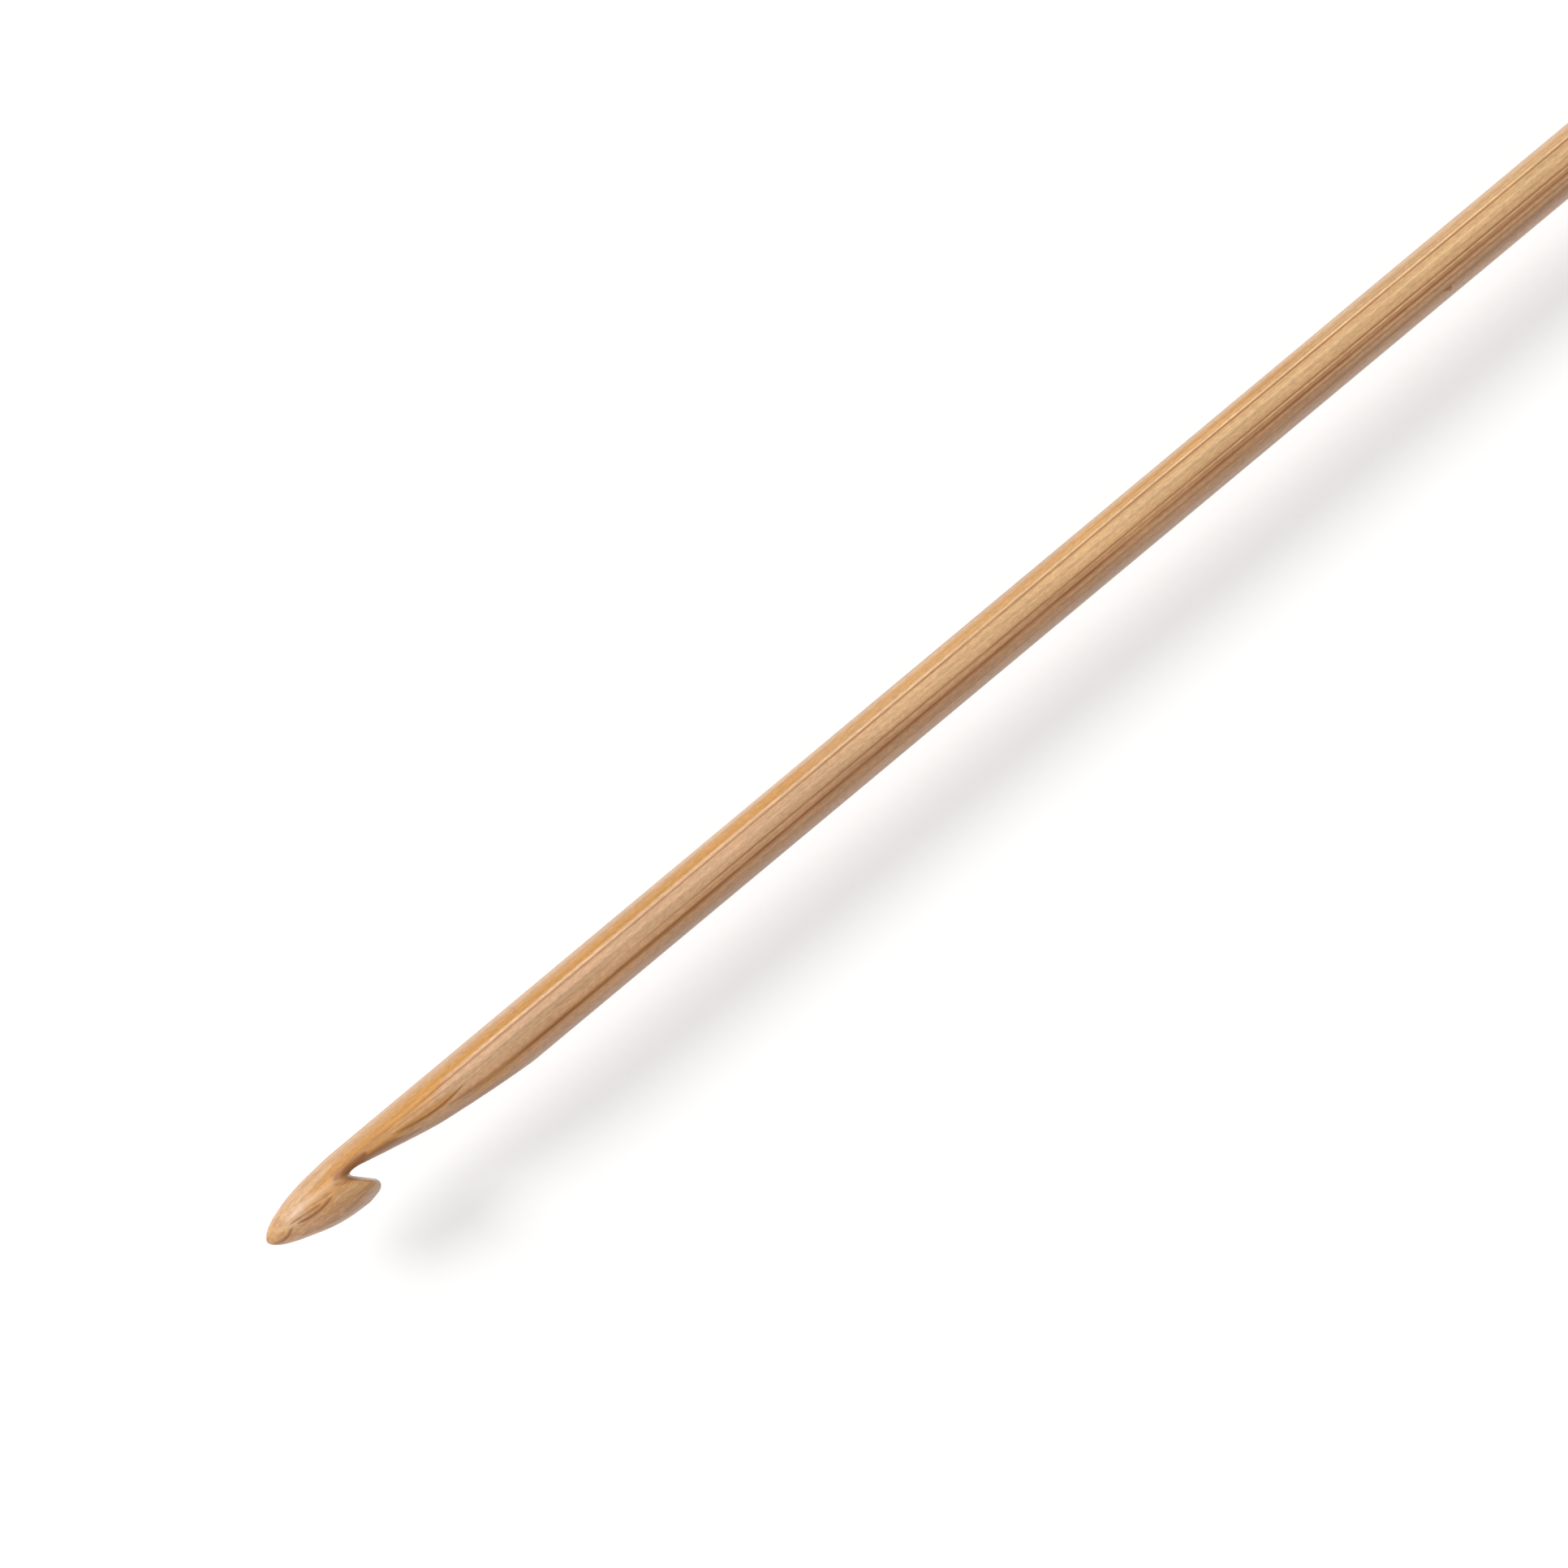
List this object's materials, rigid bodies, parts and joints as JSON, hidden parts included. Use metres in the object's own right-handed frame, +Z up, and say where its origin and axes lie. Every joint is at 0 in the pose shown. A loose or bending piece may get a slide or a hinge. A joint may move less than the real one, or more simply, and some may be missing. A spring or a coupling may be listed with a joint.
{
  "type": "crochet hook",
  "caption": "Slim bamboo crochet hook: a straight round shaft with a pointed carved head, an undercut throat, a long tapered neck and a flat sawn butt with an eased edge.",
  "frame": {"origin": "on the surface that the hook lies on, straight below the shaft's axis, midway between nose and butt", "axes": "+X along the shaft from the nose towards the butt, -Y the way the throat opens, +Z up"},
  "size_m": [0.15, 0.0043, 0.004],
  "materials": {
    "bamboo": "satin"
  },
  "bodies": {
    "root": {"hook_head": "bamboo", "shaft": "bamboo"}
  },
  "joints": []
}
